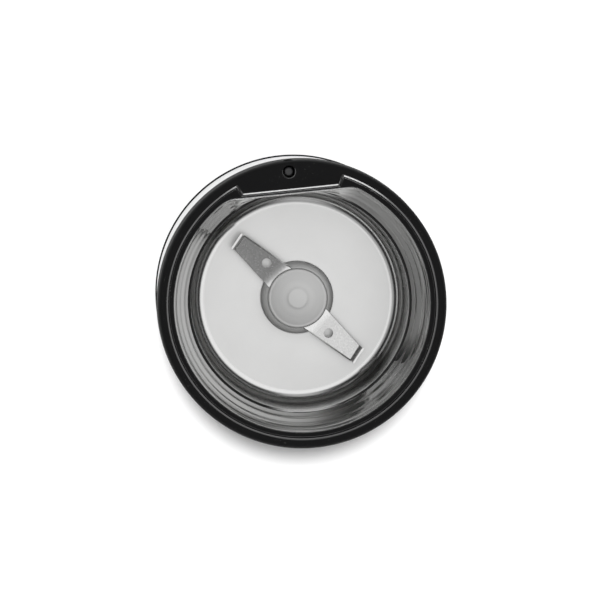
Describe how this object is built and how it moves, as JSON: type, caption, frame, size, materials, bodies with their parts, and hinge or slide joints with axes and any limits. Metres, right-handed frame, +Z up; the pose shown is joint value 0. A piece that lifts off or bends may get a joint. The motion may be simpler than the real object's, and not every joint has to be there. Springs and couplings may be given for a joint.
{
  "type": "electric spice grinder",
  "caption": "Upright electric blade grinder for spices, lid off: black collar with lid land, steel bowl with bent-tip blade, brushed steel sleeve, black tapered base, full motor.",
  "frame": {"origin": "on the table, under the middle of the body", "axes": "+Z up along the shaft, +Y towards the flat land with the lid interlock"},
  "size_m": [0.092, 0.092, 0.118],
  "materials": {
    "black_plastic": "fine satin moulded black",
    "grey_plastic": "plain moulded grey",
    "pin_plastic": "dark grey moulded, slightly worn",
    "black_rubber": "matt rubber",
    "brushed_steel": "brushed round the body",
    "bowl_steel": "polished wall, satin floor",
    "blade_steel": "blasted wings with ground edges",
    "satin_aluminium": "satin turned dome",
    "zinc_steel": "zinc plated",
    "bronze": "sintered bronze and brass",
    "copper_bar": "turned copper",
    "copper_wire": "enamelled wire",
    "lamination": "stacked sheet",
    "carbon": "pressed carbon",
    "capacitor_case": "moulded case"
  },
  "bodies": {
    "housing": {"collar": "black_plastic", "outer_sleeve": "brushed_steel", "inner_housing": "grey_plastic", "base_housing": "black_plastic", "cord_inlet": "black_rubber", "base_plate": "black_plastic", "rubber_feet": "black_rubber", "base_screws": "zinc_steel", "grinding_bowl": "bowl_steel", "bowl_cushion": "black_rubber", "shaft_seal": "black_rubber", "upper_bracket": "zinc_steel", "lower_bracket": "zinc_steel", "upper_bearing": "bronze", "lower_bearing": "bronze", "stator_core": "lamination", "field_coil_right": "copper_wire", "field_coil_left": "copper_wire", "brush_holder_right": "bronze", "brush_holder_left": "bronze", "brush_right": "carbon", "brush_left": "carbon", "brush_springs": "zinc_steel", "motor_mounts": "black_rubber", "motor_screws": "zinc_steel", "suppressor_capacitor": "capacitor_case", "thermal_fuse": "zinc_steel", "switch_body": "black_plastic", "switch_terminals": "bronze", "switch_screws": "zinc_steel"},
    "rotor": {"blade": "blade_steel", "hub_cap": "satin_aluminium", "blade_washer": "grey_plastic", "drive_shaft": "zinc_steel", "armature_core": "lamination", "armature_winding": "copper_wire", "commutator": "copper_bar", "cooling_fan": "grey_plastic", "thrust_washer": "grey_plastic"},
    "pushrod": {"interlock_pushrod": "pin_plastic", "return_spring": "zinc_steel"},
    "lever": {"switch_lever": "zinc_steel"},
    "plunger": {"switch_plunger": "pin_plastic"}
  },
  "joints": [
    {"name": "rotor_spin", "type": "hinge", "parent": "housing", "child": "rotor", "pos_m": [0, 0, 0.077], "axis": [0, 0, 1], "continuous": true},
    {"name": "interlock_slide", "type": "slide", "parent": "housing", "child": "pushrod", "axis": [0, 0, -1], "range_m": [0, 0.003], "stiffness_N_per_m": 300, "springref_m": -0.003, "deforming": ["return_spring"]},
    {"name": "lever_hinge", "type": "hinge", "parent": "housing", "child": "lever", "pos_m": [0, 0.026, 0.0555], "axis": [-1, 0, 0], "range_deg": [0, 12.7]},
    {"name": "plunger_slide", "type": "slide", "parent": "housing", "child": "plunger", "axis": [0, 0, -1], "range_m": [0, 0.00114]}
  ],
  "couplings": [
    {"joint": "lever_hinge", "follows": "interlock_slide", "rad_per_m": 73.304},
    {"joint": "plunger_slide", "follows": "interlock_slide", "ratio": 0.3633}
  ]
}
